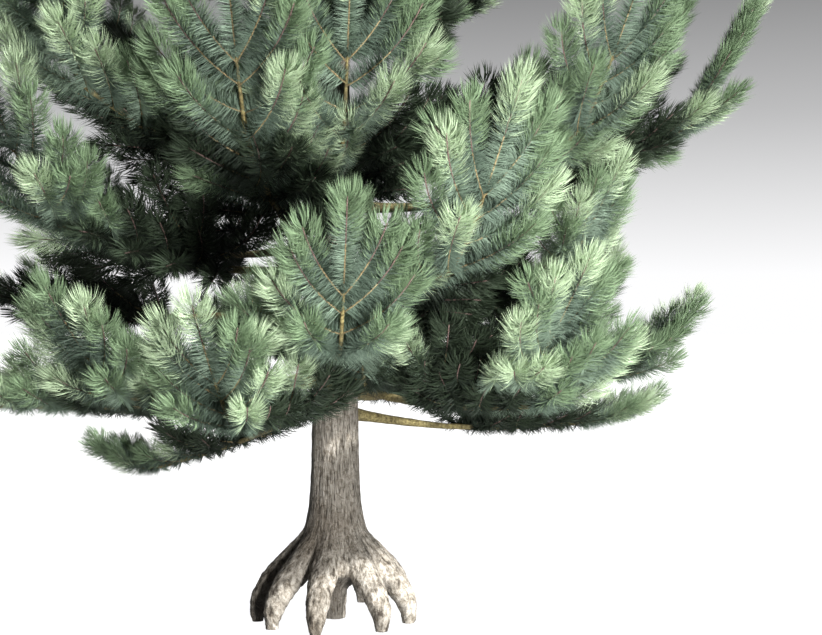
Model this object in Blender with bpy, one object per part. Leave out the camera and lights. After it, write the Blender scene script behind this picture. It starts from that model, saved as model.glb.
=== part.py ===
"""Young Austrian pine, rooted in level ground: one trunk with a clawed root flare, boughs with
a mass of needle sprays at the end of each, and the sprays that grow from the upper trunk.
Metres, +Z up, origin at the centre of the flat cut under the trunk, front of the tree at -Y."""

import math
import random

import bpy
import bmesh
from mathutils import Vector
from mathutils.bvhtree import BVHTree

# Trunk: height up the trunk and radius there. The narrow foot stands inside the ring of roots.
TRUNK_PROFILE = (
    (0.00, 0.058), (0.15, 0.068), (0.225, 0.160), (0.27, 0.250), (0.32, 0.262), (0.38, 0.232),
    (0.46, 0.188), (0.58, 0.152), (0.80, 0.135), (1.55, 0.118), (2.20, 0.103), (3.00, 0.082),
    (3.80, 0.059), (4.60, 0.036), (5.10, 0.022), (5.45, 0.014),
)
TRUNK_SIDES = 14
TRUNK_SWAY = 0.018
SWAY_LENGTH = 3.1
SWAY_STARTS, SWAY_FULL = 1.6, 3.1
SWAY_RATIO = 0.8
SLEEVE_STARTS = 7
BELOW_GROUND = -0.06

# Root flare: nine claws that leave the trunk at knee height and turn down to the ground.
ROOT_AZIMUTHS = (-9, -46, -81, -121, -160, 158, 118, 74, 35)
ROOT_REACH = 0.425
ROOT_PROFILE = (
    # share of the reach, height, radius
    (0.16, 0.520, 0.070), (0.36, 0.400, 0.080), (0.60, 0.300, 0.080), (0.82, 0.215, 0.070),
    (0.97, 0.115, 0.058), (1.01, 0.035, 0.040), (1.00, -0.040, 0.022),
)
ROOT_SIDES = 5
ROOT_BEND, ROOT_BEND_TURN = 0.025, 3

# Boughs: height on the trunk, azimuth from the front towards +X, reach of the furthest needles
# from the trunk's axis, and how far those needles stand above the bough's foot.
BOUGHS = (
    (1.14, 107, 2.04, 0.04), (1.18, -128, 2.00, -0.32), (1.54, 4, 1.96, 0.72),
    (1.22, -91, 2.30, 0.14), (1.26, 158, 2.05, 0.20), (1.31, 43, 2.06, 0.34),
    (1.28, -14, 1.96, 0.52), (1.42, 89, 2.06, 0.42), (1.39, -33, 2.10, 0.48),
    (1.46, 37, 1.92, 0.56), (1.38, 14, 1.36, 0.28), (1.33, -62, 2.30, 0.50),
    (1.58, -158, 2.18, 0.46), (1.66, 21, 2.12, 1.10), (1.70, 132, 2.24, 0.58),
    (1.74, -98, 2.32, 0.78), (1.84, 62, 1.64, 0.70), (1.94, -44, 2.18, 1.02),
    (2.04, -11, 2.00, 1.30), (2.08, -123, 2.10, 0.84), (2.10, 49, 2.06, 1.34),
    (2.22, 5, 1.88, 1.14), (2.28, 84, 2.28, 1.24),
)
BOUGH_FOOT_RADIUS = 0.036
BOUGH_TIP_RADIUS = 0.017
BOUGH_SIDES = 5
BOUGH_STEPS = 3
COLLAR = 0.5
COLLAR_ENDS = 1 / 3

# Limbs: each runs nearly level to its knee, bare for this share of the way. From the knee an arm
# turns up to the furthest needles: a riser, and the leading shoot on it. Its mean angle, between
# the two given, follows from how high those needles stand, and it steepens by a share of that.
BARE_SHARE = 0.44
UPTURN = 1.5
SAG = 0.035
SIDEWAYS = 6
ARM_LENGTH = 0.98
ARM_LOWEST, ARM_HIGHEST = 14, 64
ARM_LIFT_SHARE = 1.20
ARM_BEND = 0.25
ARM_STEPS, RISER_STEPS = 5, 2
TANGENT_STEP = 0.01

# Upper crown: limbs that are leafy from the trunk out, wound round it by the golden angle.
UPPER_COUNT = 12
UPPER_LOW, UPPER_HIGH = 2.36, 5.12
UPPER_REACH_LOW, UPPER_REACH_HIGH = 2.20, 0.74
UPPER_LIFT_LOW, UPPER_LIFT_HIGH = 1.22, 0.66
UPPER_FIRST_AZIMUTH = -36
GOLDEN_ANGLE = 137.5
UPPER_STEM_FOOT, UPPER_STEM_PER_REACH = 0.009, 0.009

# Stems and twigs: shares are of the path that they stand on, angles in degrees, lengths in metres.
STEM_STEPS = 2
STEM_RADIUS = 0.015
TWIG_RADII = (0.011, 0.009, 0.007)
TWIG_COUNT, WIDE_TWIG_COUNT = 2, 3
WIDE_REACH = 1.5
FIRST_TWIG_SHARE, LAST_TWIG_SHARE = 0.06, 0.80
TWIG_PLACE_SPREAD = 0.35
TWIG_ANGLE, TWIG_ANGLE_SPREAD = 58, 7
TWIG_LENGTH, TWIG_SHORTENING, TWIG_LENGTH_SPREAD = 0.30, 0.05, 0.08
BRANCH_UPTURN = 0.60

# Brushes: each is one leading shoot clothed in needles, drawn larger than life.
BRUSH_LENGTH = 0.58
BRUSH_RADIUS = 0.112
BRUSH_STEPS = 3
BRUSH_SIDES = 3
BRUSH_UPTURN = 0.70
BRUSH_PROFILE = (
    # share of the brush's length, share of its radius, turn of the three-cornered section
    (0.00, 0.070, 0), (0.54, 1.000, 0), (0.59, 0.380, 60), (1.00, 0.800, 60),
)
STEM_BRUSHES = 4
TWIG_BRUSHES = (2, 1, 1)
BRUSH_FOREMOST, BRUSH_SPACING = 0.80, 0.55
BRUSH_ANGLE, BRUSH_ANGLE_STEP = 52, 20
BRUSH_SHORTENING = 0.05
SMALLEST_SIZE, SIZE_PER_REACH = 0.52, 0.26
LOWEST_SIZE, SIZE_PER_LIFT = 0.56, 0.40

# Leader: the upright shoot on the trunk's tip and the ring of shoots round it.
LEADER_SIZE = 0.78
LEADER_STEM = 0.10
LEADER_SHOOTS = 4
LEADER_SHOOT_LENGTH = 0.36
LEADER_RISE, LEADER_SPREAD = 0.7, 0.4

SEED = 42
TWIG_SEED = 1000
UPPER_SEED = 141
GAP = 0.0003
SQUARED = 0.03
CLEARANCE = 0.004
WELD = 0.00005
SMOOTH_UNDER = 50

BARK = ("bark", (0.30, 0.27, 0.23), 0.90)
BOUGH_BARK = ("bough_bark", (0.24, 0.22, 0.12), 0.85)
LOWER_NEEDLES = ("lower_needles", (0.12, 0.21, 0.12), 0.60)
UPPER_NEEDLES = ("upper_needles", (0.15, 0.25, 0.12), 0.60)

UP = Vector((0, 0, 1))


def clear_scene():
    for old in list(bpy.data.objects):
        bpy.data.objects.remove(old, do_unlink=True)


def new_collection(name):
    made = bpy.data.collections.new(name)
    bpy.context.scene.collection.children.link(made)
    return made


def material(look):
    name, colour, roughness = look
    found = bpy.data.materials.get(name)
    if found:
        return found
    made = bpy.data.materials.new(name)
    made.use_nodes = True
    shader = made.node_tree.nodes["Principled BSDF"]
    shader.inputs["Base Color"].default_value = (*colour, 1)
    shader.inputs["Roughness"].default_value = roughness
    shader.inputs["Metallic"].default_value = 0
    made.diffuse_color = (*colour, 1)
    return made


def as_helper(obj):
    obj.hide_render = True
    obj.display_type = "WIRE"
    return obj


def section(sides):
    """The cross-section of every limb with that many sides: a closed outline of unit radius."""
    name = f"section_{sides}"
    if name in bpy.data.objects:
        return bpy.data.objects[name]
    data = bpy.data.curves.new(name, "CURVE")
    data.dimensions = "2D"
    outline = data.splines.new("POLY")
    outline.points.add(sides - 1)
    for i, point in enumerate(outline.points):
        turn = 2 * math.pi * i / sides
        point.co = (math.cos(turn), math.sin(turn), 0, 1)
    outline.use_cyclic_u = True
    made = as_helper(bpy.data.objects.new(name, data))
    guides.objects.link(made)
    return made


def tube(name, path, radii, sides, collection, turns=None):
    """A tapering limb along a path: a section swept as a curve, capped, and made a mesh."""
    data = bpy.data.curves.new(name, "CURVE")
    data.dimensions = "3D"
    data.twist_mode = "MINIMUM"
    data.bevel_mode = "OBJECT"
    data.bevel_object = section(sides)
    data.use_fill_caps = True
    spline = data.splines.new("POLY")
    spline.points.add(len(path) - 1)
    for i, point in enumerate(spline.points):
        point.co = (*path[i], 1)
        point.radius = radii[i]
        point.tilt = math.radians(turns[i]) if turns else 0
    swept = bpy.data.objects.new(name + "_curve", data)
    collection.objects.link(swept)
    graph = bpy.context.evaluated_depsgraph_get()
    mesh = bpy.data.meshes.new_from_object(swept.evaluated_get(graph))
    mesh.name = name
    made = bpy.data.objects.new(name, mesh)
    made.matrix_world = swept.matrix_world
    collection.objects.link(made)
    bpy.data.objects.remove(swept, do_unlink=True)
    bpy.data.curves.remove(data)
    weld_and_face_out(mesh)
    return made


def weld_and_face_out(mesh):
    shape = bmesh.new()
    shape.from_mesh(mesh)
    bmesh.ops.remove_doubles(shape, verts=shape.verts, dist=WELD)
    bmesh.ops.recalc_face_normals(shape, faces=shape.faces)
    shape.to_mesh(mesh)
    shape.free()


def apply_modifiers(obj):
    graph = bpy.context.evaluated_depsgraph_get()
    mesh = bpy.data.meshes.new_from_object(obj.evaluated_get(graph))
    obj.modifiers.clear()
    obj.data = mesh


def join_all(obj, pieces):
    """One Boolean union of an object with a collection of pieces, which are then removed."""
    union = obj.modifiers.new("join", "BOOLEAN")
    union.operation = "UNION"
    union.operand_type = "COLLECTION"
    union.collection = pieces
    union.solver = "MANIFOLD"
    apply_modifiers(obj)
    for piece in list(pieces.objects):
        bpy.data.objects.remove(piece, do_unlink=True)
    bpy.data.collections.remove(pieces)


def cut_away(obj, cutter):
    cut = obj.modifiers.new("cut", "BOOLEAN")
    cut.operation = "DIFFERENCE"
    cut.object = cutter
    cut.solver = "EXACT"
    apply_modifiers(obj)


def finish(obj, look, smooth=False):
    obj.data.materials.clear()
    obj.data.materials.append(material(look))
    if smooth:
        obj.data.shade_smooth()
        obj.data.set_sharp_from_angle(angle=math.radians(SMOOTH_UNDER))


def heading(azimuth):
    """Level direction for an azimuth in degrees: 0 is the front, -Y, and 90 is +X."""
    turn = math.radians(azimuth)
    return Vector((math.sin(turn), -math.cos(turn), 0))


def trunk_centre(height):
    """The trunk is straight at the foot and wavers a little higher up."""
    share = (height - SWAY_STARTS) / (SWAY_FULL - SWAY_STARTS)
    waver = TRUNK_SWAY * min(1, max(0, share))
    turn = 2 * math.pi * height / SWAY_LENGTH
    return Vector((waver * math.sin(turn), waver * math.cos(turn * SWAY_RATIO), height))


def root_path(azimuth):
    out = heading(azimuth)
    side = heading(azimuth + 90) * ROOT_BEND * math.sin(math.radians(azimuth * ROOT_BEND_TURN))
    return [
        out * ROOT_REACH * share + side * share ** 2 + UP * height
        for share, height, _ in ROOT_PROFILE
    ]


def build_trunk():
    """The trunk and its roots as one solid, cut off flat at ground level."""
    heights = [height for height, _ in TRUNK_PROFILE]
    heights[0] = BELOW_GROUND
    path = [trunk_centre(height) for height in heights]
    trunk = tube("trunk", path, [radius for _, radius in TRUNK_PROFILE], TRUNK_SIDES, tree)
    roots = new_collection("roots")
    radii = [radius for _, _, radius in ROOT_PROFILE]
    for number, azimuth in enumerate(ROOT_AZIMUTHS, 1):
        tube(f"root_{number}", root_path(azimuth), radii, ROOT_SIDES, roots)
    join_all(trunk, roots)
    bpy.ops.mesh.primitive_cube_add(size=2, location=(0, 0, -1))
    ground = as_helper(bpy.context.object)
    ground.name = "ground_cutter"
    for owner in list(ground.users_collection):
        owner.objects.unlink(ground)
    cutters.objects.link(ground)
    cut_away(trunk, ground)
    finish(trunk, BARK, smooth=True)
    return trunk


def build_sleeve():
    """The trunk's outline, a hair wider: what the feet of boughs and upper limbs are coped to."""
    rows = TRUNK_PROFILE[SLEEVE_STARTS:]
    wider = GAP / math.cos(math.pi / TRUNK_SIDES)
    path = [trunk_centre(height) for height, _ in rows]
    radii = [radius + wider for _, radius in rows]
    return as_helper(tube("trunk_sleeve", path, radii, TRUNK_SIDES, cutters))


class Limb:
    """A bough and the stem that carries on from it to the knee, as one curve from the trunk's axis."""

    def __init__(self, foot, azimuth, reach, lift, seed):
        self.foot = foot
        self.azimuth = azimuth
        self.reach = reach
        self.seed = seed
        self.sway = random.Random(seed).uniform(-SIDEWAYS, SIDEWAYS)
        by_lift = LOWEST_SIZE + SIZE_PER_LIFT * max(0, lift)
        self.size = min(1, SMALLEST_SIZE + SIZE_PER_REACH * reach, by_lift)
        self.arm = ARM_LENGTH * self.size
        steepness = max(-1, min(1, ARM_LIFT_SHARE * lift / self.arm))
        self.tilt = min(math.radians(ARM_HIGHEST), max(math.radians(ARM_LOWEST), math.asin(steepness)))
        self.knee_reach = reach - self.arm * math.cos(self.tilt)
        self.knee_lift = lift - self.arm * math.sin(self.tilt)

    def point(self, share):
        """Where the limb is at a share of the way to its knee."""
        bow = math.sin(math.pi * share)
        out = heading(self.azimuth + self.sway * bow) * self.knee_reach * share
        rise = self.knee_lift * share ** UPTURN - SAG * bow * self.reach
        return trunk_centre(self.foot) + out + UP * rise

    def direction(self, share):
        ahead, behind = self.point(share + TANGENT_STEP), self.point(share - TANGENT_STEP)
        return (ahead - behind).normalized()


def curved(start, first, last, length, steps):
    """A path that leaves start along first and has turned to last by its end."""
    path = [start.copy()]
    for i in range(steps):
        share = (i + 0.5) / steps
        along = (first * (1 - share) + last * share).normalized()
        path.append(path[-1] + along * length / steps)
    return path


def between(path, share):
    """The point at a share of a path's length, the path having even steps."""
    place = share * (len(path) - 1)
    low = min(int(place), len(path) - 2)
    return path[low].lerp(path[low + 1], place - low)


def heading_at(path, share):
    low = min(int(share * (len(path) - 1)), len(path) - 2)
    return (path[low + 1] - path[low]).normalized()


def branching(path, share, side, angle, length, steps):
    """A path from the side of another, bent back and up towards the way that one goes."""
    along = heading_at(path, share)
    across = along.cross(UP).normalized() * side
    turn = math.radians(angle)
    first = along * math.cos(turn) + across * math.sin(turn)
    last = along * math.cos(turn / 2) + across * math.sin(turn / 2)
    last = (last + UP * BRANCH_UPTURN).normalized()
    return curved(between(path, share), first, last, length, steps)


def axes_of(limb, bare):
    """The paths of the stem, of the arm beyond its knee and of its side twigs, from one set of draws."""
    draw = random.Random(limb.seed + TWIG_SEED)
    stem = [limb.point(bare + (1 - bare) * i / STEM_STEPS) for i in range(STEM_STEPS + 1)]
    along = heading_at(stem, 1)
    level = Vector((along.x, along.y, 0)).normalized()
    first, last = [limb.tilt * (1 + bend) for bend in (-ARM_BEND, ARM_BEND)]
    leaving = level * math.cos(first) + UP * math.sin(first)
    ending = level * math.cos(last) + UP * math.sin(last)
    arm = curved(stem[-1], leaving, ending, limb.arm, ARM_STEPS)
    side = draw.choice((-1, 1))
    count = WIDE_TWIG_COUNT if not bare and limb.reach > WIDE_REACH else TWIG_COUNT
    twigs = []
    for i in range(count):
        place = (i + draw.uniform(0, TWIG_PLACE_SPREAD)) / count
        share = FIRST_TWIG_SHARE + (LAST_TWIG_SHARE - FIRST_TWIG_SHARE) * place
        angle = TWIG_ANGLE + draw.uniform(-TWIG_ANGLE_SPREAD, TWIG_ANGLE_SPREAD)
        length = limb.size * (TWIG_LENGTH - TWIG_SHORTENING * i)
        length *= draw.uniform(1 - TWIG_LENGTH_SPREAD, 1 + TWIG_LENGTH_SPREAD)
        twigs.append(branching(stem, share, side, angle, length, len(TWIG_RADII) - 1))
        side = -side
    return stem, arm, twigs


def side_brushes(axis, count, size):
    """Paths of the brushes that leave an axis on alternate sides, the foremost first."""
    paths = []
    for i in range(count):
        pair = i // 2
        side = -1 if i % 2 else 1
        share = BRUSH_FOREMOST - BRUSH_SPACING * pair
        angle = BRUSH_ANGLE + BRUSH_ANGLE_STEP * pair
        length = BRUSH_LENGTH * size * (1 - BRUSH_SHORTENING * (pair + 1))
        paths.append(branching(axis, share, side, angle, length, BRUSH_STEPS))
    return paths


def clothed(path, size):
    """Points, radii and turns of a brush along a path."""
    points = [between(path, share) for share, _, _ in BRUSH_PROFILE]
    radii = [BRUSH_RADIUS * (1 + size) / 2 * wide for _, wide, _ in BRUSH_PROFILE]
    return points, radii, [turn for _, _, turn in BRUSH_PROFILE]


def led(axis, radii, size, leader=None):
    """An axis carried on by the brush at its tip, as the points, radii and turns of one tube."""
    if leader is None:
        along = heading_at(axis, 1)
        upward = (along + UP * BRUSH_UPTURN).normalized()
        leader = curved(axis[-1], along, upward, BRUSH_LENGTH * size, BRUSH_STEPS)
    points, wide, turns = clothed(leader, size)
    return list(axis) + points[1:], list(radii) + wide[1:], [0] * len(axis) + turns[1:]


class Space:
    """The surfaces placed so far, each with the node that it belongs to."""

    def __init__(self):
        self.taken = []

    def claim(self, obj, owner):
        self.taken.append((owner, search_tree(obj)))

    def free(self, points, radii, turns, owner):
        """Whether a twig this much fatter would cross nothing that another node has claimed."""
        fatter = [radius + CLEARANCE for radius in radii]
        fat = tube("trial", points, fatter, BRUSH_SIDES, guides, turns)
        trial = search_tree(fat)
        bpy.data.objects.remove(fat, do_unlink=True)
        return not any(other != owner and trial.overlap(held) for other, held in self.taken)


def search_tree(obj):
    points = [vertex.co for vertex in obj.data.vertices]
    return BVHTree.FromPolygons(points, [face.vertices for face in obj.data.polygons])


class Mass:
    """The needles of one limb: a stem, its side twigs, and the brushes that find room."""

    def __init__(self, name, limb, bare, look):
        self.name = name
        self.limb = limb
        self.bare = bare
        self.look = look
        self.pieces = new_collection(name + "_pieces")
        self.stem, self.arm, self.twigs = axes_of(limb, bare)
        self.riser = self.arm[:RISER_STEPS + 1]
        self.waiting = list(enumerate(side_brushes(self.riser, STEM_BRUSHES, limb.size)))

    def grow_stem(self):
        """From the bough's end, squared off there, or from inside the trunk, coped later."""
        path = list(self.stem)
        if self.bare:
            start, along = self.limb.point(self.bare), self.limb.direction(self.bare)
            path[:1] = [start + along * GAP, start + along * SQUARED]
            foot = STEM_RADIUS
        else:
            foot = UPPER_STEM_FOOT + UPPER_STEM_PER_REACH * self.limb.reach
        path += self.riser[1:]
        last = len(path) - 1
        radii = [foot + (TWIG_RADII[0] - foot) * i / last for i in range(last + 1)]
        points, radii, turns = led(path, radii, self.limb.size, self.arm[RISER_STEPS:])
        self.body = tube(self.name, points, radii, BRUSH_SIDES, tree, turns)
        room.claim(self.body, self.name)

    def grow_twigs(self):
        for number, twig in enumerate(self.twigs):
            if self.place(f"twig_{number}", led(twig, TWIG_RADII, self.limb.size)):
                count = TWIG_BRUSHES[number]
                self.waiting += enumerate(side_brushes(twig, count, self.limb.size))

    def grow_brushes(self, order):
        for number, (found, path) in enumerate(self.waiting):
            if found == order:
                self.place(f"brush_{number}", clothed(path, self.limb.size))

    def place(self, name, shape):
        """Make the twig or brush unless it would cross another node; says whether it did."""
        points, radii, turns = shape
        if not room.free(points, radii, turns, self.name):
            return False
        piece_name = f"{self.name}_{name}"
        made = tube(piece_name, points, radii, BRUSH_SIDES, self.pieces, turns)
        room.claim(made, self.name)
        return True

    def join(self):
        join_all(self.body, self.pieces)
        if not self.bare:
            cut_away(self.body, sleeve)
        finish(self.body, self.look)


def build_leader():
    """The shoots at the very top of the trunk: one upright and the rest in a ring round it."""
    top = trunk_centre(TRUNK_PROFILE[-1][0])
    along = (top - trunk_centre(TRUNK_PROFILE[-2][0])).normalized()
    axis = [top + along * GAP, top + along * LEADER_STEM]
    points, radii, turns = led(axis, (TRUNK_PROFILE[-1][1], TWIG_RADII[0]), LEADER_SIZE)
    body = tube("leader_foliage", points, radii, BRUSH_SIDES, tree, turns)
    pieces = new_collection("leader_pieces")
    for number in range(LEADER_SHOOTS):
        out = heading(360 * (number + 0.5) / LEADER_SHOOTS)
        first = (out + along * LEADER_RISE).normalized()
        last = (out * LEADER_SPREAD + UP).normalized()
        start = top + along * LEADER_STEM / 2
        shoot = curved(start, first, last, LEADER_SHOOT_LENGTH, BRUSH_STEPS)
        points, radii, turns = clothed(shoot, LEADER_SIZE)
        tube(f"leader_shoot_{number}", points, radii, BRUSH_SIDES, pieces, turns)
    join_all(body, pieces)
    finish(body, UPPER_NEEDLES)
    return body


def build_bough(name, limb):
    """The bare part of a limb, squared off at its end where the stem of its mass begins."""
    path = []
    radii = []
    for i in range(BOUGH_STEPS + 1):
        part = i / BOUGH_STEPS
        collar = 1 + COLLAR * max(0, 1 - part / COLLAR_ENDS)
        path.append(limb.point(BARE_SHARE * part))
        radii.append(BOUGH_FOOT_RADIUS * collar * (1 - part) + BOUGH_TIP_RADIUS * part)
    path.insert(-1, path[-1] - limb.direction(BARE_SHARE) * SQUARED)
    radii.append(BOUGH_TIP_RADIUS)
    bough = tube(name, path, radii, BOUGH_SIDES, tree)
    cut_away(bough, sleeve)
    finish(bough, BOUGH_BARK, smooth=True)
    return bough


def upper_limb(number):
    share = number / (UPPER_COUNT - 1)
    return Limb(
        UPPER_LOW + (UPPER_HIGH - UPPER_LOW) * share,
        UPPER_FIRST_AZIMUTH + GOLDEN_ANGLE * number,
        UPPER_REACH_LOW + (UPPER_REACH_HIGH - UPPER_REACH_LOW) * share,
        UPPER_LIFT_LOW + (UPPER_LIFT_HIGH - UPPER_LIFT_LOW) * share,
        UPPER_SEED + number,
    )


clear_scene()
tree = new_collection("austrian_pine")
cutters = new_collection("cutters")
guides = new_collection("guides")
room = Space()

room.claim(build_trunk(), "trunk")
sleeve = build_sleeve()
room.claim(build_leader(), "leader_foliage")

masses = []
for number, row in enumerate(BOUGHS):
    limb = Limb(*row, SEED + number)
    name = f"bough_{number + 1:02d}"
    room.claim(build_bough(name, limb), name)
    masses.append(Mass(f"foliage_{number + 1:02d}", limb, BARE_SHARE, LOWER_NEEDLES))
for number in range(UPPER_COUNT):
    name = f"upper_foliage_{number + 1:02d}"
    masses.append(Mass(name, upper_limb(number), 0, UPPER_NEEDLES))

for mass in masses:
    mass.grow_stem()
for mass in masses:
    mass.grow_twigs()
for order in range(STEM_BRUSHES):
    for mass in masses:
        mass.grow_brushes(order)
for mass in masses:
    mass.join()
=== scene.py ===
# Young Austrian pine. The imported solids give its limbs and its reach, and this script dresses them:
# a barked trunk with root claws, barked boughs and twigs, and the shoots and needles that grow on them.
import math
import random

import bpy
import numpy as np
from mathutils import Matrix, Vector


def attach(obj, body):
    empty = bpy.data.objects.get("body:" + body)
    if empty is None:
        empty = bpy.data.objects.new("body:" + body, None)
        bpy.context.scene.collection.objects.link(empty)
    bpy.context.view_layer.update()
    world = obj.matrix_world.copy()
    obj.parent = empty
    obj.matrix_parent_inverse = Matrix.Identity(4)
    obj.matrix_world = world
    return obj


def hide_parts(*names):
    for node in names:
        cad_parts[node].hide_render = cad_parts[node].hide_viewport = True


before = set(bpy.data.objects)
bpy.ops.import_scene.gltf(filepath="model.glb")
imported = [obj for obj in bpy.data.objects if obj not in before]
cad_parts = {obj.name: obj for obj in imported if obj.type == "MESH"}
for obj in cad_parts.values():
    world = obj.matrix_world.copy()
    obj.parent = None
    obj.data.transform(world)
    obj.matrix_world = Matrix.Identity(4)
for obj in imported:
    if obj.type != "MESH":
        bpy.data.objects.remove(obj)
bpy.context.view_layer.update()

boughNodes = sorted(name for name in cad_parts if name.startswith("bough_"))
up = Vector((0, 0, 1))
print("frame loaded:", len(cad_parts), "solids")


def rampOn(tree, factor, stops):
    # each stop is a place from 0 to 1 and the colour there
    ramp = tree.nodes.new("ShaderNodeValToRGB")
    while len(ramp.color_ramp.elements) < len(stops):
        ramp.color_ramp.elements.new(1)
    for stop, (place, colour) in zip(ramp.color_ramp.elements, stops):
        stop.position = place
        stop.color = (*colour, 1)
    tree.links.new(factor, ramp.inputs["Fac"])
    return ramp.outputs["Color"]


# Camera: eye height, level, straight down the +Y axis and a little to the right of the trunk.
cameraLook = {
    "place": (0.42, -7.5, 1.66),
    "focalPixels": 1353,  # focal length, in the image's own pixels
    "imageWidth": 822,
    "sensor": 36,
}


def placeCamera():
    look = cameraLook
    bpy.ops.object.camera_add(location=look["place"], rotation=(math.radians(90), 0, 0))
    camera = bpy.context.object
    camera.name = "photoCamera"
    camera.data.sensor_width = look["sensor"]
    camera.data.lens = look["sensor"] * look["focalPixels"] / look["imageWidth"]
    bpy.context.scene.camera = camera


# Studio: a key from the upper right in front, a small low panel that shines in under the crown, a weak sky
# and back light, and a pale surround that is white at the horizon and greyer above it.
studio = {
    "keyLight": ((57, 0, 48), 7.3, 2),  # a sun's turn, strength and spread
    "frontPanel": ((2.1, -5.6, 0.55), (0.3, 0, 1.1), 0.7, 430),  # place, target, size and power
    "skyLight": ((20, 0, 0), 0.25, 120),
    "backLight": ((62, 0, 200), 1.0, 20),
    "tones": (  # height of the direction from -1 to 1, grey there
        (-0.10, 0.10), (-0.03, 1.0), (0.03, 1.0), (0.145, 0.52), (0.24, 0.25), (0.50, 0.14),
    ),
    "toneBlue": 1.01, "surroundStrength": 1.0,
    "floorSize": 240, "floorTone": (0.12, 0.12, 0.12), "floorRoughness": 0.9, "floorGlow": 1.0,
}


def addSun(name):
    turn, strength, spread = studio[name]
    bpy.ops.object.light_add(type="SUN", rotation=[math.radians(angle) for angle in turn])
    sun = bpy.context.object
    sun.name = name
    sun.data.energy = strength
    sun.data.angle = math.radians(spread)


def addPanel(name):
    place, target, size, power = studio[name]
    aim = (Vector(target) - Vector(place)).to_track_quat("-Z", "Y").to_euler()
    bpy.ops.object.light_add(type="AREA", location=place, rotation=aim)
    panel = bpy.context.object
    panel.name = name
    panel.data.energy = power
    panel.data.size = size
    panel.visible_camera = False


def paintSurround():
    look = studio
    world = bpy.data.worlds.new("paleSurround")
    world.use_nodes = True
    tree = world.node_tree
    background = tree.nodes["Background"]
    background.inputs["Strength"].default_value = look["surroundStrength"]
    place = tree.nodes.new("ShaderNodeTexCoord")
    parts = tree.nodes.new("ShaderNodeSeparateXYZ")
    halved = tree.nodes.new("ShaderNodeMapRange")
    halved.inputs["From Min"].default_value = -1
    tree.links.new(place.outputs["Generated"], parts.inputs[0])
    tree.links.new(parts.outputs["Z"], halved.inputs["Value"])
    stops = [((height + 1) / 2, (tone, tone, tone * look["toneBlue"])) for height, tone in look["tones"]]
    tree.links.new(rampOn(tree, halved.outputs["Result"], stops), background.inputs["Color"])
    world.cycles_visibility.diffuse = False  # the lamps alone light the plant
    bpy.context.scene.world = world
    bpy.context.scene.view_settings.view_transform = "Standard"


def layFloor():
    bpy.ops.mesh.primitive_plane_add(size=studio["floorSize"])
    floor = bpy.context.object
    floor.name = "studioFloor"
    floor.visible_diffuse = False  # a white floor, without its glow under the crown
    paint = bpy.data.materials.new("palePaint")
    paint.use_nodes = True
    shader = paint.node_tree.nodes["Principled BSDF"]
    shader.inputs["Base Color"].default_value = (*studio["floorTone"], 1)
    shader.inputs["Roughness"].default_value = studio["floorRoughness"]
    shader.inputs["Emission Color"].default_value = (1, 1, 1, 1)
    shader.inputs["Emission Strength"].default_value = studio["floorGlow"]
    floor.data.materials.append(paint)


placeCamera()
addSun("keyLight")
addPanel("frontPanel")
addSun("skyLight")
addSun("backLight")
paintSurround()
layFloor()
print("camera, studio light and floor placed")


# Materials. Each takes its pattern from Object coordinates, in metres.
def newMaterial(name, look):
    made = bpy.data.materials.new(name)
    made.use_nodes = True
    shader = made.node_tree.nodes["Principled BSDF"]
    shader.inputs["Roughness"].default_value = look["roughness"]
    shader.inputs["Specular IOR Level"].default_value = look["specular"]
    return made, made.node_tree, shader


def mappedCoords(tree, scale=(1, 1, 1)):
    coords = tree.nodes.new("ShaderNodeTexCoord")
    mapping = tree.nodes.new("ShaderNodeMapping")
    mapping.inputs["Scale"].default_value = scale
    tree.links.new(coords.outputs["Object"], mapping.inputs["Vector"])
    return mapping.outputs["Vector"]


def noiseOn(tree, vector, scale, detail, roughness, distortion):
    noise = tree.nodes.new("ShaderNodeTexNoise")
    noise.inputs["Scale"].default_value = scale
    noise.inputs["Detail"].default_value = detail
    noise.inputs["Roughness"].default_value = roughness
    noise.inputs["Distortion"].default_value = distortion
    tree.links.new(vector, noise.inputs["Vector"])
    return noise.outputs["Fac"]


def multiplied(tree, first, second):
    mix = tree.nodes.new("ShaderNodeMix")
    mix.data_type = "RGBA"
    mix.blend_type = "MULTIPLY"
    sockets = {socket.identifier: socket for socket in mix.inputs}
    sockets["Factor_Float"].default_value = 1
    tree.links.new(first, sockets["A_Color"])
    tree.links.new(second, sockets["B_Color"])
    return next(out for out in mix.outputs if out.identifier == "Result_Color")


def bumpOn(tree, height, strength, distance, before=None):
    bump = tree.nodes.new("ShaderNodeBump")
    bump.inputs["Strength"].default_value = strength
    bump.inputs["Distance"].default_value = distance
    tree.links.new(height, bump.inputs["Height"])
    if before:
        tree.links.new(before, bump.inputs["Normal"])
    return bump.outputs["Normal"]


def vectorMath(tree, operation, first, second=None):
    node = tree.nodes.new("ShaderNodeVectorMath")
    node.operation = operation
    tree.links.new(first, node.inputs[0])
    if isinstance(second, bpy.types.NodeSocket):
        tree.links.new(second, node.inputs[1])
    elif second:
        node.inputs[1].default_value = second
    return node


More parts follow.
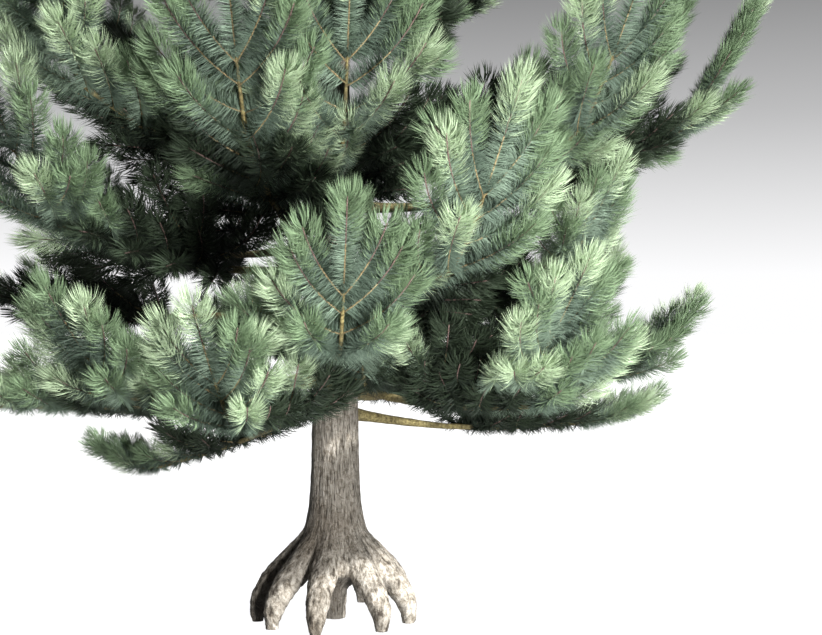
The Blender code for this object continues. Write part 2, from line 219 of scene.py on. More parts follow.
def grainCoords(tree, girth, stretch):
    # runs with the grain: round the trunk it goes by the heading alone, and along it by height less
    # reach, so that the streaks turn out and down with the claws
    coords = tree.nodes.new("ShaderNodeTexCoord").outputs["Object"]
    flat = vectorMath(tree, "MULTIPLY", coords, (1, 1, 0)).outputs["Vector"]
    out = vectorMath(tree, "NORMALIZE", flat).outputs["Vector"]
    reach = vectorMath(tree, "LENGTH", flat).outputs["Value"]
    parts = tree.nodes.new("ShaderNodeSeparateXYZ")
    tree.links.new(coords, parts.inputs[0])
    along = tree.nodes.new("ShaderNodeMath")
    along.operation = "SUBTRACT"
    tree.links.new(parts.outputs["Z"], along.inputs[0])
    tree.links.new(reach, along.inputs[1])
    rise = tree.nodes.new("ShaderNodeCombineXYZ")
    tree.links.new(along.outputs[0], rise.inputs["Z"])
    around = vectorMath(tree, "MULTIPLY", out, (girth, girth, girth)).outputs["Vector"]
    drawn = vectorMath(tree, "MULTIPLY", rise.outputs["Vector"], (1, 1, stretch)).outputs["Vector"]
    return vectorMath(tree, "ADD", around, drawn).outputs["Vector"]


# Trunk bark: long fissures between grey plates, fine grain, wrinkled knobs and broad paler patches.
trunkBarkLook = {
    "roughness": 0.88, "specular": 0.2,
    "girth": 0.13, "fissureStretch": 0.11, "patchStretch": 0.7,
    # scale, detail, roughness and distortion of each pattern
    "fissures": (125, 5, 0.62, 0.35), "grain": (290, 3, 0.6, 0),
    "patches": (3.4, 4, 0.55, 0.4), "knobs": (46, 4, 0.6, 0.8),
    # place in the pattern and colour there: the first paints, and the others multiply it
    "fissureTones": (
        (0.34, (0.060, 0.050, 0.040)), (0.47, (0.28, 0.255, 0.215)), (0.68, (0.52, 0.485, 0.43)),
    ),
    "grainTones": ((0.32, (0.62, 0.60, 0.57)), (0.62, (1.12, 1.12, 1.12))),
    "patchTones": ((0.36, (0.66, 0.63, 0.60)), (0.50, (0.98, 0.98, 0.98)), (0.64, (1.35, 1.35, 1.35))),
    "knobTones": ((0.38, (0.62, 0.59, 0.55)), (0.50, (1.0, 1.0, 1.0))),
    # strength, and depth in metres
    "fissureBump": (0.9, 0.012), "knobBump": (0.8, 0.010), "grainBump": (0.5, 0.003),
}


def makeTrunkBark():
    look = trunkBarkLook
    made, tree, shader = newMaterial("trunkBark", look)
    lengthways = grainCoords(tree, look["girth"], look["fissureStretch"])
    fissures = noiseOn(tree, lengthways, *look["fissures"])
    grain = noiseOn(tree, lengthways, *look["grain"])
    patches = noiseOn(tree, mappedCoords(tree, (1, 1, look["patchStretch"])), *look["patches"])
    knobs = noiseOn(tree, mappedCoords(tree), *look["knobs"])
    colour = rampOn(tree, fissures, look["fissureTones"])
    for pattern, tones in ((grain, "grainTones"), (patches, "patchTones"), (knobs, "knobTones")):
        colour = multiplied(tree, colour, rampOn(tree, pattern, look[tones]))
    tree.links.new(colour, shader.inputs["Base Color"])
    coarse = bumpOn(tree, fissures, *look["fissureBump"])
    knobbly = bumpOn(tree, knobs, *look["knobBump"], coarse)
    tree.links.new(bumpOn(tree, grain, *look["grainBump"], knobbly), shader.inputs["Normal"])
    return made


# Bough bark: small olive scales, in tones that drift from bough to bough.
boughBarkLook = {
    "roughness": 0.8, "specular": 0.25,
    "scales": (70, 4, 0.6, 0.5), "fine": (260, 3, 0.6, 0), "broad": (5, 3, 0.5, 0),
    "scaleTones": (
        (0.33, (0.055, 0.043, 0.022)), (0.50, (0.19, 0.16, 0.075)), (0.70, (0.36, 0.31, 0.16)),
    ),
    "broadTones": ((0.35, (0.60, 0.60, 0.62)), (0.65, (1.20, 1.17, 1.00))),
    "scaleBump": (0.7, 0.005), "fineBump": (0.4, 0.002),
}


def makeBoughBark():
    look = boughBarkLook
    made, tree, shader = newMaterial("boughBark", look)
    vector = mappedCoords(tree)
    scales = noiseOn(tree, vector, *look["scales"])
    fine = noiseOn(tree, vector, *look["fine"])
    broad = noiseOn(tree, vector, *look["broad"])
    scaly = rampOn(tree, scales, look["scaleTones"])
    drifting = rampOn(tree, broad, look["broadTones"])
    tree.links.new(multiplied(tree, scaly, drifting), shader.inputs["Base Color"])
    coarse = bumpOn(tree, scales, *look["scaleBump"])
    tree.links.new(bumpOn(tree, fine, *look["fineBump"], coarse), shader.inputs["Normal"])
    return made


# Shoot bark: last year's wood is tan, this year's is purple-brown.
shootBarkLook = {
    "roughness": 0.7, "specular": 0.3,
    "scars": (150, 3, 0.6, 0), "scarBump": (0.4, 0.002),
    "scarTones": {
        "oldShootBark": ((0.35, (0.12, 0.09, 0.045)), (0.62, (0.33, 0.26, 0.135))),
        "youngShootBark": ((0.35, (0.060, 0.038, 0.036)), (0.62, (0.22, 0.145, 0.125))),
    },
}


def makeShootBark(name):
    look = shootBarkLook
    made, tree, shader = newMaterial(name, look)
    scars = noiseOn(tree, mappedCoords(tree), *look["scars"])
    tree.links.new(rampOn(tree, scars, look["scarTones"][name]), shader.inputs["Base Color"])
    tree.links.new(bumpOn(tree, scars, *look["scarBump"]), shader.inputs["Normal"])
    return made


# Needle tints, dealt out by shoot. The old needles at its root are bluer and the young ones fresher, and
# the shoots deep inside the crown, and those that hang, have a near-black pair of painted shade.
needleLook = {
    "roughness": 0.6, "specular": 0.2,
    "tints": {
        "oldPale": (0.195, 0.265, 0.195), "oldBlue": (0.115, 0.162, 0.120),
        "youngPale": (0.42, 0.53, 0.34), "youngFresh": (0.195, 0.28, 0.158),
        # painted shade: a near-black pair for the shoots inside the crown and those that hang
        "oldDeep": (0.022, 0.032, 0.021), "youngDeep": (0.034, 0.050, 0.029),
    },
}


def makeNeedleMaterial(tint, colour):
    made, _, shader = newMaterial("needles" + tint[0].upper() + tint[1:], needleLook)
    shader.inputs["Base Color"].default_value = (*colour, 1)
    return made


trunkBark = makeTrunkBark()
boughBark = makeBoughBark()
shootBarks = {name: makeShootBark(name) for name in shootBarkLook["scarTones"]}
needleMaterials = {tint: makeNeedleMaterial(tint, colour) for tint, colour in needleLook["tints"].items()}
print("materials made")


# Trunk: one tapering stem with a wide skirt, and nine root claws that turn down to the ground.
trunkForm = {
    "profile": (  # height, radius
        (0.00, 0.058), (0.15, 0.068), (0.225, 0.160), (0.27, 0.250), (0.32, 0.262), (0.38, 0.232),
        (0.46, 0.188), (0.58, 0.152), (0.80, 0.135), (1.55, 0.118), (2.20, 0.103), (3.00, 0.082),
        (3.80, 0.059), (4.60, 0.036), (5.10, 0.022), (5.45, 0.014),
    ),
    "sway": 0.018, "swayLength": 3.1, "swayStarts": 1.6, "swayFull": 3.1, "swayRatio": 0.8,
    "sides": 28, "ringsBetween": 4, "belowGround": -0.06,
    "clawAzimuths": (-9, -46, -81, -121, -160, 158, 118, 74, 35),
    "clawReach": 0.425, "clawBend": 0.025, "clawBendRate": 3,
    "clawProfile": (  # share of the reach, height, radius
        (0.16, 0.520, 0.070), (0.36, 0.400, 0.080), (0.60, 0.300, 0.080), (0.82, 0.215, 0.070),
        (0.97, 0.115, 0.058), (1.01, 0.035, 0.040), (1.00, -0.040, 0.022),
    ),
    "clawSides": 12, "clawRings": 3,
    "voxel": 0.0078,
    "ribScale": 0.030, "ribStretch": 7, "ribDepth": 0.007,
    "plateScale": 0.020, "plateStretch": 3, "plateDepth": 0.004,
    "knobScale": 0.034, "knobDepth": 0.013, "knobsBelow": 0.34, "knobFade": 0.15,
}
leastSwing = 0.0005  # in radians: a smaller turn of a tube's ring is left out


def heading(azimuth):
    turn = math.radians(azimuth)  # 0 is the front, -Y, and 90 is +X
    return Vector((math.sin(turn), -math.cos(turn), 0))


def trunkCentre(height):
    form = trunkForm
    share = (height - form["swayStarts"]) / (form["swayFull"] - form["swayStarts"])
    waver = form["sway"] * min(1, max(0, share))
    turn = 2 * math.pi * height / form["swayLength"]
    return Vector((waver * math.sin(turn), waver * math.cos(turn * form["swayRatio"]), height))


def smoothed(rows, steps):
    # a smooth curve through rows of numbers, with that many steps from each to the next
    rows = [np.array(row, float) for row in (rows[0], *rows, rows[-1])]
    curve = []
    for before, first, second, after in zip(rows, rows[1:], rows[2:], rows[3:]):
        for k in range(steps):
            t = k / steps
            bend = 2 * before - 5 * first + 4 * second - after
            twist = 3 * first - before - 3 * second + after
            curve.append(0.5 * (2 * first + (second - before) * t + bend * t ** 2 + twist * t ** 3))
    curve.append(rows[-1])
    return curve


def selectOnly(*pieces):
    bpy.ops.object.select_all(action="DESELECT")
    for piece in pieces:
        piece.select_set(True)
    if pieces:
        bpy.context.view_layer.objects.active = pieces[0]


def growTube(name, path, radii, sides):
    # a round face at the foot, drawn out ring by ring, each turned to the path and scaled to its radius
    last = len(path) - 1
    headings = [(path[min(i + 1, last)] - path[max(i - 1, 0)]).normalized() for i in range(last + 1)]
    selectOnly()
    facing = up.rotation_difference(headings[0]).to_euler()
    bpy.ops.mesh.primitive_circle_add(vertices=sides, radius=radii[0], fill_type="NGON",
                                      location=path[0], rotation=facing)
    tube = bpy.context.object
    tube.name = name
    bpy.ops.object.transform_apply(location=True, rotation=True, scale=True)
    bpy.ops.object.mode_set(mode="EDIT")
    for i in range(1, last + 1):
        bpy.ops.mesh.extrude_region_move(TRANSFORM_OT_translate={"value": path[i] - path[i - 1]})
        swing = headings[i - 1].rotation_difference(headings[i])
        if swing.angle > leastSwing:
            bpy.ops.transform.rotate(value=swing.angle, orient_axis="Z", orient_type="GLOBAL",
                                     orient_matrix=swing.axis.to_track_quat("Z", "Y").to_matrix(),
                                     orient_matrix_type="GLOBAL", constraint_axis=(False, False, True),
                                     center_override=path[i])
        growth = radii[i] / radii[i - 1]
        bpy.ops.transform.resize(value=(growth, growth, growth), center_override=path[i])
    bpy.ops.mesh.select_all(action="SELECT")
    bpy.ops.mesh.normals_make_consistent(inside=False)
    bpy.ops.object.mode_set(mode="OBJECT")
    return tube


def joinPieces(pieces, name):
    selectOnly(*pieces)
    bpy.ops.object.join()
    joined = bpy.context.object
    joined.name = name
    joined.data.name = name
    return joined


def applyAll(piece):
    selectOnly(piece)
    for modifier in list(piece.modifiers):
        bpy.ops.object.modifier_apply(modifier=modifier.name)


def relief(piece, name, kind, scale, depth, stretch=1, group=""):
    # pushes the surface in and out by a pattern that is drawn out upwards by stretch
    pattern = bpy.data.textures.new(name, kind)
    pattern.noise_scale = scale
    if kind == "CLOUDS":
        pattern.noise_depth = 2
    bpy.ops.object.empty_add()
    ruler = bpy.context.object
    ruler.scale = (1, 1, stretch)
    push = piece.modifiers.new(name, "DISPLACE")
    push.texture = pattern
    push.texture_coords = "OBJECT"
    push.texture_coords_object = ruler
    push.strength = depth
    push.mid_level = 0.5
    push.vertex_group = group
    applyAll(piece)
    bpy.data.objects.remove(ruler)


def clawPath(azimuth):
    form = trunkForm
    out = heading(azimuth)
    side = heading(azimuth + 90) * form["clawBend"]
    side *= math.sin(math.radians(azimuth * form["clawBendRate"]))
    return [(*(out * form["clawReach"] * share + side * share ** 2 + up * height), radius)
            for share, height, radius in form["clawProfile"]]


def buildTrunk():
    form = trunkForm
    foot = (form["belowGround"], form["profile"][0][1])
    rows = smoothed([foot, *form["profile"][1:]], form["ringsBetween"])
    pieces = [growTube("trunkStem", [trunkCentre(height) for height, _ in rows],
                       [radius for _, radius in rows], form["sides"])]
    for azimuth in form["clawAzimuths"]:
        claw = smoothed(clawPath(azimuth), form["clawRings"])
        path = [Vector(row[:3]) for row in claw]
        pieces.append(growTube("claw", path, [row[3] for row in claw], form["clawSides"]))
    trunk = joinPieces(pieces, "trunkWithRoots")
    fuse = trunk.modifiers.new("fuse", "REMESH")
    fuse.mode = "VOXEL"
    fuse.voxel_size = form["voxel"]
    applyAll(trunk)
    low = trunk.vertex_groups.new(name="knobbly")
    for vertex in trunk.data.vertices:
        share = (form["knobsBelow"] - vertex.co.z) / form["knobFade"]
        if share > 0:
            low.add([vertex.index], min(1, share), "REPLACE")
    relief(trunk, "ribs", "CLOUDS", form["ribScale"], form["ribDepth"], form["ribStretch"])
    relief(trunk, "plates", "VORONOI", form["plateScale"], form["plateDepth"], form["plateStretch"])
    relief(trunk, "knobs", "CLOUDS", form["knobScale"], form["knobDepth"], 1, "knobbly")
    cutAtGround(trunk)
    bpy.ops.object.shade_smooth()
    trunk.data.materials.append(trunkBark)
    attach(trunk, "root")
    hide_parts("trunk")
    return trunk


def cutAtGround(piece):
    selectOnly(piece)
    bpy.ops.object.mode_set(mode="EDIT")
    bpy.ops.mesh.select_all(action="SELECT")
    bpy.ops.mesh.bisect(plane_co=(0, 0, 0), plane_no=(0, 0, 1), use_fill=True, clear_inner=True)
    bpy.ops.object.mode_set(mode="OBJECT")


trunk = buildTrunk()
print("trunk and roots:", len(trunk.data.polygons), "faces")


# Crown: the limbs grow by the same rule and the same draws as the solids that they replace.
crown = {
    "boughs": (  # height on the trunk, azimuth, reach of the furthest needles, their height over the foot
        (1.14, 107, 2.04, 0.04), (1.18, -128, 2.00, -0.32), (1.54, 4, 1.96, 0.72),
        (1.22, -91, 2.30, 0.14), (1.26, 158, 2.05, 0.20), (1.31, 43, 2.06, 0.34),
        (1.28, -14, 1.96, 0.52), (1.42, 89, 2.06, 0.42), (1.39, -33, 2.10, 0.48),
        (1.46, 37, 1.92, 0.56), (1.38, 14, 1.36, 0.28), (1.33, -62, 2.30, 0.50),
        (1.58, -158, 2.18, 0.46), (1.66, 21, 2.12, 1.10), (1.70, 132, 2.24, 0.58),
        (1.74, -98, 2.32, 0.78), (1.84, 62, 1.64, 0.70), (1.94, -44, 2.18, 1.02),
        (2.04, -11, 2.00, 1.30), (2.08, -123, 2.10, 0.84), (2.10, 49, 2.06, 1.34),
        (2.22, 5, 1.88, 1.14), (2.28, 84, 2.28, 1.24),
    ),
    "bareShare": 0.44, "upturn": 1.5, "sag": 0.035, "sideways": 6,
    "armLength": 0.98, "armTilt": (14, 64), "armShare": 1.20, "armBend": 0.25,
    "smallestSize": 0.52, "sizePerReach": 0.26, "lowestSize": 0.56, "sizePerLift": 0.40,
    "upperCount": 12, "upperFirstAzimuth": -36, "goldenAngle": 137.5,
    "upperHeights": (2.36, 5.12), "upperReaches": (2.20, 0.74), "upperLifts": (1.22, 0.66),
    "seed": 42, "twigSeed": 1000, "upperSeed": 141, "shootSeed": 500,
}


def newLimb(foot, azimuth, reach, lift, seed, bare, node):
    # a limb runs out nearly level to its knee, and from there an arm turns up to the furthest needles
    sway = random.Random(seed).uniform(-crown["sideways"], crown["sideways"])
    size = min(1, crown["smallestSize"] + crown["sizePerReach"] * reach,
               crown["lowestSize"] + crown["sizePerLift"] * max(0, lift))
    arm = crown["armLength"] * size
    lowest, highest = [math.radians(angle) for angle in crown["armTilt"]]
    climb = max(-1, min(1, crown["armShare"] * lift / arm))
    tilt = min(highest, max(lowest, math.asin(climb)))
    return {
        "foot": foot, "azimuth": azimuth, "reach": reach, "seed": seed, "bare": bare, "node": node,
        "sway": sway, "size": size, "arm": arm, "tilt": tilt,
        "kneeReach": reach - arm * math.cos(tilt), "kneeLift": lift - arm * math.sin(tilt),
    }


def limbPoint(limb, share):
    bow = math.sin(math.pi * share)
    out = heading(limb["azimuth"] + limb["sway"] * bow) * limb["kneeReach"] * share
    rise = limb["kneeLift"] * share ** crown["upturn"] - crown["sag"] * bow * limb["reach"]
    return trunkCentre(limb["foot"]) + out + up * rise


def allLimbs():
    limbs = [newLimb(*row, crown["seed"] + number, crown["bareShare"], f"foliage_{number + 1:02d}")
             for number, row in enumerate(crown["boughs"])]
    for number in range(crown["upperCount"]):
        share = number / (crown["upperCount"] - 1)
        foot, reach, lift = [low + (high - low) * share for low, high in
                             (crown["upperHeights"], crown["upperReaches"], crown["upperLifts"])]
        azimuth = crown["upperFirstAzimuth"] + crown["goldenAngle"] * number
        limbs.append(newLimb(foot, azimuth, reach, lift, crown["upperSeed"] + number, 0,
                             f"upper_foliage_{number + 1:02d}"))
    return limbs


def curvedPath(start, first, last, length, steps):
    path = [start.copy()]
    for i in range(steps):
        share = (i + 0.5) / steps
        path.append(path[-1] + first.lerp(last, share).normalized() * length / steps)
    return path


def pointAt(path, share):
    place = share * (len(path) - 1)
    low = min(int(place), len(path) - 2)
    return path[low].lerp(path[low + 1], place - low)


def headingAt(path, share):
    low = min(int(share * (len(path) - 1)), len(path) - 2)
    return (path[low + 1] - path[low]).normalized()


def branchPath(path, share, side, angle, length, steps, rise):
    # from the side of another path, bent back and up towards the way that one goes
    along = headingAt(path, share)
    across = along.cross(up).normalized() * side
    turn = math.radians(angle)
    first = along * math.cos(turn) + across * math.sin(turn)
    last = along * math.cos(turn / 2) + across * math.sin(turn / 2)
    return curvedPath(pointAt(path, share), first, (last + up * rise).normalized(), length, steps)


# Twigs: shares are of the stem that they stand on, angles in degrees, lengths in metres.
twigForm = {
    "count": 2, "upperCount": 3, "wideReach": 1.5,
    "firstShare": 0.06, "lastShare": 0.80, "placeSpread": 0.35,
    "angle": 58, "angleSpread": 7, "length": 0.30, "shortening": 0.05, "lengthSpread": 0.08,
    "rise": 0.60, "stemSteps": 8, "steps": 6, "armSteps": 15, "riserSteps": 6,
}


def axesOf(limb):
    # the stem from the bare wood's end to the knee, the riser beyond it, and the side twigs
    form = twigForm
    draw = random.Random(limb["seed"] + crown["twigSeed"])
    bare = limb["bare"]
    steps = form["stemSteps"]
    stem = [limbPoint(limb, bare + (1 - bare) * i / steps) for i in range(steps + 1)]
    along = headingAt(stem, 1)
    level = Vector((along.x, along.y, 0)).normalized()
    first, last = [limb["tilt"] * (1 + bend) for bend in (-crown["armBend"], crown["armBend"])]
    leaving = level * math.cos(first) + up * math.sin(first)
    ending = level * math.cos(last) + up * math.sin(last)
    arm = curvedPath(stem[-1], leaving, ending, limb["arm"], form["armSteps"])
    riser = arm[:form["riserSteps"] + 1]
    side = draw.choice((-1, 1))
    count = form["upperCount"] if not bare and limb["reach"] > form["wideReach"] else form["count"]
    twigs = []
    for i in range(count):
        place = (i + draw.uniform(0, form["placeSpread"])) / count
        share = form["firstShare"] + (form["lastShare"] - form["firstShare"]) * place
        angle = form["angle"] + draw.uniform(-form["angleSpread"], form["angleSpread"])
        length = limb["size"] * (form["length"] - form["shortening"] * i)
        length *= draw.uniform(1 - form["lengthSpread"], 1 + form["lengthSpread"])
        twigs.append(branchPath(stem, share, side, angle, length, form["steps"], form["rise"]))
        side = -side
    return stem, riser, twigs


# Shoots: each is one leading growth clothed in needles. They stand in opposite pairs behind the leading
# one, the hindmost the widest, and curl up and forward, so that each fan opens like a hand.
shootForm = {
    "leaderLength": 0.50, "leaderRise": 0.9,
    "riserPairs": 4, "stemPairs": 8, "twigPairs": 2,
    "firstGap": 0.02, "pairGap": 0.118, "stemGap": 0.16, "pairOffset": 0.022, "hindmost": 0.04,
    # angle, length, rise and underRise hold the foremost pair's value and the hindmost pair's
    "angle": (40, 80), "angleSpread": 4, "lastTurn": 0.45,
    "length": (0.46, 0.50), "lengthSpread": 0.06,
    "rise": (0.60, 0.80), "riseSpread": 0.10, "steepEases": 0.85,
    "underPairs": 4, "underGap": 0.17, "underRise": (-0.25, -0.42), "underSteps": 6, "underAbove": 1.56,
    "steps": 8, "forkChance": 0.08, "forkShare": (0.25, 0.45), "forkLength": 0.6, "forkAngle": 40,
    "forkSteps": 6, "forkRise": 0.5,
    "footRadius": 0.0058, "tipRadius": 0.0030, "youngFrom": 0.45,
}


def shootPath(axis, share, side, angle, length, steps, rise):
    along = headingAt(axis, share)
    across = along.cross(up).normalized() * side
    first, last = math.radians(angle), math.radians(angle) * shootForm["lastTurn"]
    leaving = along * math.cos(first) + across * math.sin(first)
    ending = along * math.cos(last) + across * math.sin(last) + up * rise
    return curvedPath(pointAt(axis, share), leaving, ending.normalized(), length, steps)


def fanNormal(path, share):
    along = headingAt(path, share)
    across = along.cross(up).normalized()
    return across.cross(along).normalized()


def lengthOf(path):
    return sum((path[i + 1] - path[i]).length for i in range(len(path) - 1))


def fanOn(axis, pairs, pairGap, limb, draw, rises=shootForm["rise"]):
    form = shootForm
    axisLength = lengthOf(axis)
    fan = []
    for pair in range(pairs):
        back = pair / max(1, pairs - 1)  # 0 is the foremost
        gap = form["firstGap"] + pairGap * pair
        for side in (-1, 1):
            share = 1 - (gap + draw.uniform(0, form["pairOffset"])) / axisLength
            if share < form["hindmost"]:
                continue
            angle, length, rise = [low + (high - low) * back for low, high in
                                   (form["angle"], form["length"], rises)]
            angle += draw.uniform(-form["angleSpread"], form["angleSpread"])
            length *= limb["size"] * draw.uniform(1 - form["lengthSpread"], 1 + form["lengthSpread"])
            rise += draw.uniform(-form["riseSpread"], form["riseSpread"])
            rise *= 1 - form["steepEases"] * headingAt(axis, share).z
            flat = fanNormal(axis, share)
            path = shootPath(axis, share, side, angle, length, form["steps"], rise)
            fan.append((path, flat))
            if draw.random() < form["forkChance"]:
                place = draw.uniform(*form["forkShare"])
                forkLength = length * form["forkLength"]
                fork = shootPath(path, place, side, form["forkAngle"], forkLength,
                                 form["forkSteps"], rise * form["forkRise"])
                fan.append((fork, flat))
    return fan


def leaderOf(axis, limb):
    form = shootForm
    along = headingAt(axis, 1)
    last = (along + up * form["leaderRise"] * (1 - along.z)).normalized()
    path = curvedPath(axis[-1], along, last, form["leaderLength"] * limb["size"], form["steps"])
    return path, fanNormal(axis, 1)


def shootsOf(limb, stem, riser, twigs):
    form = shootForm
    draw = random.Random(limb["seed"] + crown["shootSeed"])
    handGap = form["pairGap"] * limb["size"]
    pairs = min(form["stemPairs"], int(lengthOf(stem) / form["stemGap"]))
    shoots = [leaderOf(riser, limb)] + fanOn(riser, form["riserPairs"], handGap, limb, draw)
    shoots += fanOn(stem, pairs, form["stemGap"], limb, draw)
    for twig in twigs:
        shoots += [leaderOf(twig, limb)] + fanOn(twig, form["twigPairs"], handGap, limb, draw)
    if limb["foot"] > form["underAbove"]:  # the higher limbs also have some that hang under the inner stem
        inner = stem[:form["underSteps"]]
        shoots += fanOn(inner, form["underPairs"], form["underGap"], limb, draw, form["underRise"])
    return shoots


# Leader on the trunk's tip: one upright shoot and rings of shoots round it.
leaderForm = {
    "size": 0.78, "stem": 0.10,
    "rings": ((0.5, 5, 0.36, 0.7, 0.4), (0.9, 4, 0.26, 1.3, 0.25)),  # share, count, length, rise, spread
    "reach": 0.20,  # its shoots get the painted-shade pair or the plain tints by their share of this
}


def treetopShoots():
    form = leaderForm
    top = trunkCentre(trunkForm["profile"][-1][0])
    along = (top - trunkCentre(trunkForm["profile"][-2][0])).normalized()
    limb = {"size": form["size"]}
    axis = [top, top + along * form["stem"]]
    path, _ = leaderOf(axis, limb)
    shoots = [(path, heading(0))]
    for share, count, length, rise, spread in form["rings"]:
        for number in range(count):
            out = heading(360 * (number + share) / count)
            first = (out + along * rise).normalized()
            last = (out * spread + up).normalized()
            shoots.append((curvedPath(pointAt(axis, share), first, last, length, shootForm["steps"]), out))
    return axis, shoots


# Boughs, stems and twigs: bare wood from the trunk out to where the leading shoots begin.
boughForm = {
    "footRadius": 0.036, "tipRadius": 0.017, "collar": 0.5, "collarEnds": 1 / 3,
    "upperFoot": (0.009, 0.009), "kneeRadius": 0.012, "stemTip": 0.006, "twigRadii": (0.010, 0.0055),
    "rings": 22, "sides": 10, "twigSides": 7,
    "lumpScale": 0.028, "lumpDepth": 0.006, "grainScale": 0.009, "grainDepth": 0.0018,
}


def boughRadius(limb, share):
    form = boughForm
    if not limb["bare"]:
        foot = form["upperFoot"][0] + form["upperFoot"][1] * limb["reach"]
        return foot + (form["kneeRadius"] - foot) * share
    part = share / limb["bare"]
    if part > 1:
        beyond = form["kneeRadius"] - form["tipRadius"]
        return form["tipRadius"] + beyond * (share - limb["bare"]) / (1 - limb["bare"])
    collar = 1 + form["collar"] * max(0, 1 - part / form["collarEnds"])
    return form["footRadius"] * collar * (1 - part) + form["tipRadius"] * part


def buildWood(limbs):
    form = boughForm
    pieces = []
    for limb, stem, riser, twigs in limbs:
        shares = [i / form["rings"] for i in range(form["rings"] + 1)]
        path = [limbPoint(limb, share) for share in shares] + riser[1:]
        radii = [boughRadius(limb, share) for share in shares]
        beyond = len(riser) - 1
        slimming = form["stemTip"] - form["kneeRadius"]
        radii += [form["kneeRadius"] + slimming * i / beyond for i in range(1, beyond + 1)]
        pieces.append(growTube("bough", path, radii, form["sides"]))
        for twig in twigs:
            first, last = form["twigRadii"]
            radii = [first + (last - first) * i / (len(twig) - 1) for i in range(len(twig))]
            pieces.append(growTube("twig", twig, radii, form["twigSides"]))
    wood = joinPieces(pieces, "boughsAndTwigs")
    rounder = wood.modifiers.new("rounder", "SUBSURF")
    rounder.levels = 1
    rounder.render_levels = 1
    applyAll(wood)
    relief(wood, "lumps", "CLOUDS", form["lumpScale"], form["lumpDepth"])
    relief(wood, "grain", "CLOUDS", form["grainScale"], form["grainDepth"])
    bpy.ops.object.shade_smooth()
    wood.data.materials.append(boughBark)
    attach(wood, "root")
    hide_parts(*boughNodes)
    return wood


limbs = [(limb, *axesOf(limb)) for limb in allLimbs()]
wood = buildWood(limbs)
print("boughs and twigs:", len(wood.data.polygons), "faces")


# Needles: each is a slim blade, plain for the old ones and bent in the middle for the young ones. They
# stand out to both sides of the shoot, and leave a parting above and below that shows its stem. The old
# ones stand nearly square to it, and the young ones are longer, sweep forward and close in at the tip.
needleForm = {
    "perMetre": 2600, "starts": 0.03, "lengthSpread": 0.12,
    "oldWidth": 0.0040, "oldLength": 0.080, "oldSweep": 76,
    "youngWidth": 0.0032, "youngLength": 0.128, "youngSweep": 46,
    "youngStarts": 0.45, "youngFull": 0.80,  # shares of the shoot, as are starts and tuftFrom
    "tuftFrom": 0.94, "tuftSweep": 20, "tuftLeast": 0.4, "tuftShorter": 0.10,
    "sweepSpread": 6, "fanOut": 62, "curl": (5, 13), "lift": 0.10,
    "paintedShadeWithin": 0.57, "litBeyond": 0.82,  # shares of the limb's reach: within the first a shoot has the painted-shade tints, beyond the second only if it hangs, and between them by chance
    "paintedShadeShare": 0.55, "paintedShadeWidth": 1.7,  # shoots of painted shade have fewer and wider needles
    "oldPaleShare": 0.45, "youngPaleShare": 0.40,
    "mostTriangles": 190000,  # in one piece
}
bladeFaces = ((0, 1, 2), (1, 3, 2))  # a plain blade has the first alone

gathered = {}  # (zone, tint or bark) to a list of (points, faces, node)


def gather(key, points, faces, node):
    gathered.setdefault(key, []).append((points, faces, node))


def unit(vectors):
    return vectors / np.linalg.norm(vectors, axis=1)[:, None]


def dressShoot(path, flat, node, tints, draw):
    form = needleForm
    points = np.array(path)
    steps = np.diff(points, axis=0)
    stepLength = np.linalg.norm(steps, axis=1)
    # shoots with the painted-shade tints get fewer and wider needles
    share, wider = (form["paintedShadeShare"], form["paintedShadeWidth"]) if tints[0] == "oldDeep" else (1, 1)
    count = int(form["perMetre"] * share * stepLength.sum())
    place = form["starts"] + (1 - form["starts"]) * draw.random(count)
    where = place * len(steps)
    low = np.minimum(where.astype(int), len(steps) - 1)
    base = points[low] + steps[low] * (where - low)[:, None]
    along = steps[low] / stepLength[low][:, None]
    across = unit(np.cross(along, np.array(flat)))
    above = np.cross(across, along)
    around = np.radians(form["fanOut"] * draw.uniform(-1, 1, count)) + np.pi * (draw.random(count) < 0.5)
    outward = across * np.cos(around)[:, None] + above * np.sin(around)[:, None]
    age = np.clip((place - form["youngStarts"]) / (form["youngFull"] - form["youngStarts"]), 0, 1)
    sweep = form["oldSweep"] + (form["youngSweep"] - form["oldSweep"]) * age
    tuft = form["tuftSweep"] * (form["tuftLeast"] + draw.random(count))
    sweep = np.where(place > form["tuftFrom"], tuft, sweep)
    sweep = sweep + draw.normal(0, form["sweepSpread"], count)
    curl = form["curl"][0] + (form["curl"][1] - form["curl"][0]) * age
    length = form["oldLength"] + (form["youngLength"] - form["oldLength"]) * age
    length = length * (1 + form["lengthSpread"] * draw.uniform(-1, 1, count))
    length = length * (1 - form["tuftShorter"] * (place > form["tuftFrom"]))
    opened, closed = np.radians(sweep + curl)[:, None], np.radians(sweep - curl)[:, None]
    first = along * np.cos(opened) + outward * np.sin(opened)
    last = along * np.cos(closed) + outward * np.sin(closed)
    last[:, 2] += form["lift"]
    middle = base + first * (length / 2)[:, None]
    tip = middle + unit(last) * (length / 2)[:, None]
    side = unit(np.cross(last, draw.normal(size=(count, 3)))) / 2
    oldSide = side * (form["oldWidth"] * wider)
    youngSide = side * (form["youngWidth"] * wider)
    plain = np.stack([base - oldSide, base + oldSide, tip], axis=1)
    bent = np.stack([base, middle - youngSide, middle + youngSide, tip], axis=1)
    young = age > draw.random(count)
    for blades, tint in zip((plain[~young], bent[young]), tints):
        corners = blades.shape[1]
        starts = np.arange(len(blades))[:, None] * corners
        faces = np.concatenate([starts + row for row in bladeFaces[:corners - 2]])
        gather((zoneOf(node), tint), blades.reshape(-1, 3), faces, node)


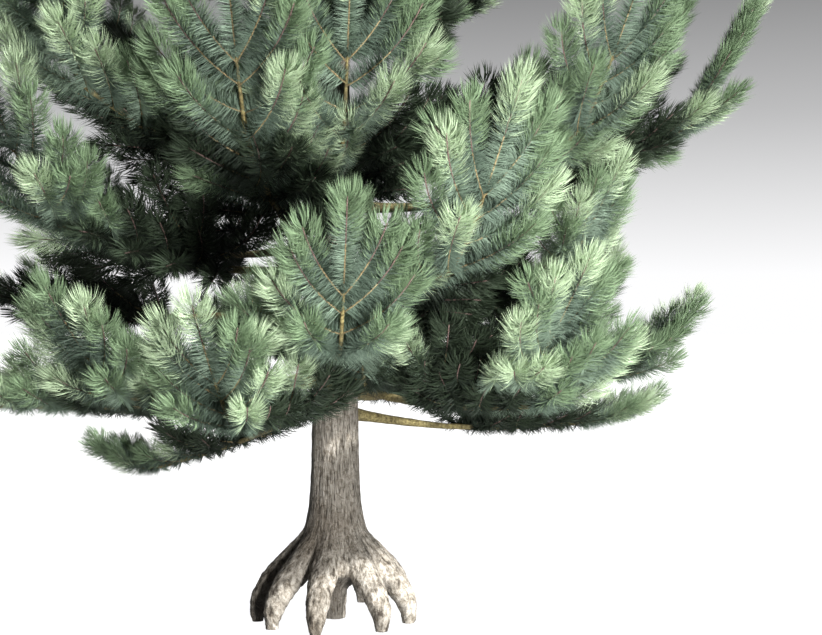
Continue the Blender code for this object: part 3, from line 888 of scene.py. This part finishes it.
def dressWood(path, node):
    # the shoot's own thin stem, tan at its root and purple-brown beyond
    form = shootForm
    end = len(path) - 1
    split = round(form["youngFrom"] * end)
    slimming = form["tipRadius"] - form["footRadius"]
    radii = [form["footRadius"] + slimming * i / end for i in range(len(path))]
    for key, first, last in (("oldShootBark", 0, split), ("youngShootBark", split, end)):
        points, faces = slimTube(path[first:last + 1], radii[first:last + 1])
        gather((zoneOf(node), key), points, faces, node)


def slimTube(path, radii):
    sides = 4  # the two end faces below are for a square tube
    rings = []
    for i, point in enumerate(path):
        along = (path[min(i + 1, len(path) - 1)] - path[max(i - 1, 0)]).normalized()
        across = along.orthogonal() if i == 0 else across - along * across.dot(along)
        across.normalize()
        above = along.cross(across)
        for k in range(sides):
            turn = 2 * math.pi * k / sides
            rings.append(point + (across * math.cos(turn) + above * math.sin(turn)) * radii[i])
    faces = []
    for i in range(len(path) - 1):
        for k in range(sides):
            a, b = i * sides + k, i * sides + (k + 1) % sides
            faces += [(a, b, b + sides), (a, b + sides, a + sides)]
    end = (len(path) - 1) * sides
    faces += [(0, 2, 1), (0, 3, 2), (end, end + 1, end + 2), (end, end + 2, end + 3)]
    return np.array(rings), np.array(faces)


def zoneOf(node):
    return "lower" if node.startswith("foliage") else "upper"


def tintsFor(path, reach, draw):
    # the nearer to the trunk, as a share of its limb's reach, the likelier a shoot is painted in shade
    # with the near-black pair, and one that hangs always is; the others are pale or darker by chance
    form = needleForm
    middle = path[len(path) // 2]
    share = math.hypot(middle.x, middle.y) / reach
    lit = (share - form["paintedShadeWithin"]) / (form["litBeyond"] - form["paintedShadeWithin"])
    if draw.random() > lit or path[-1].z < path[0].z:
        # painted shade: the near-black pair
        return "oldDeep", "youngDeep"
    old = "oldPale" if draw.random() < form["oldPaleShare"] else "oldBlue"
    young = "youngPale" if draw.random() < form["youngPaleShare"] else "youngFresh"
    return old, young


def pieceFromArrays(name, points, faces, material):
    mesh = bpy.data.meshes.new(name)
    mesh.vertices.add(len(points))
    mesh.vertices.foreach_set("co", points.astype(np.float32).ravel())
    mesh.loops.add(faces.size)
    mesh.loops.foreach_set("vertex_index", faces.astype(np.int32).ravel())
    mesh.polygons.add(len(faces))
    mesh.polygons.foreach_set("loop_start", np.arange(0, faces.size, 3, dtype=np.int32))
    mesh.update(calc_edges=True)
    mesh.materials.append(material)
    piece = bpy.data.objects.new(name, mesh)
    bpy.context.collection.objects.link(piece)
    return piece


def buildGathered():
    total = 0
    for (zone, kind), parts in gathered.items():
        batches = [[]]
        held = 0
        for part in parts:
            if held + len(part[1]) > needleForm["mostTriangles"]:
                batches.append([])
                held = 0
            batches[-1].append(part)
            held += len(part[1])
        for number, batch in enumerate(batches, 1):
            starts = np.cumsum([0] + [len(points) for points, _, _ in batch[:-1]])
            points = np.concatenate([points for points, _, _ in batch])
            faces = np.concatenate([faces + start for (_, faces, _), start in zip(batch, starts)])
            bark = kind in shootBarks
            name = f"{zone}{kind[0].upper()}{kind[1:]}" + ("" if bark else "Needles") + f"_{number}"
            material = shootBarks[kind] if bark else needleMaterials[kind]
            piece = pieceFromArrays(name, points, faces, material)
            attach(piece, "root")
            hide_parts(*sorted({node for _, _, node in batch}))
            total += len(faces)
            print("  ", name, len(faces), "faces")
    return total


draw = np.random.default_rng(crown["seed"])
shootCount = 0
for limb, stem, riser, twigs in limbs:
    for path, flat in shootsOf(limb, stem, riser, twigs):
        dressShoot(path, flat, limb["node"], tintsFor(path, limb["reach"], draw), draw)
        dressWood(path, limb["node"])
        shootCount += 1
topAxis, topShoots = treetopShoots()
for path, flat in topShoots:
    dressShoot(path, flat, "leader_foliage", tintsFor(path, leaderForm["reach"], draw), draw)
    dressWood(path, "leader_foliage")
dressWood(topAxis, "leader_foliage")
print("shoots:", shootCount + len(topShoots))
print("needles and shoot wood:", buildGathered(), "faces")
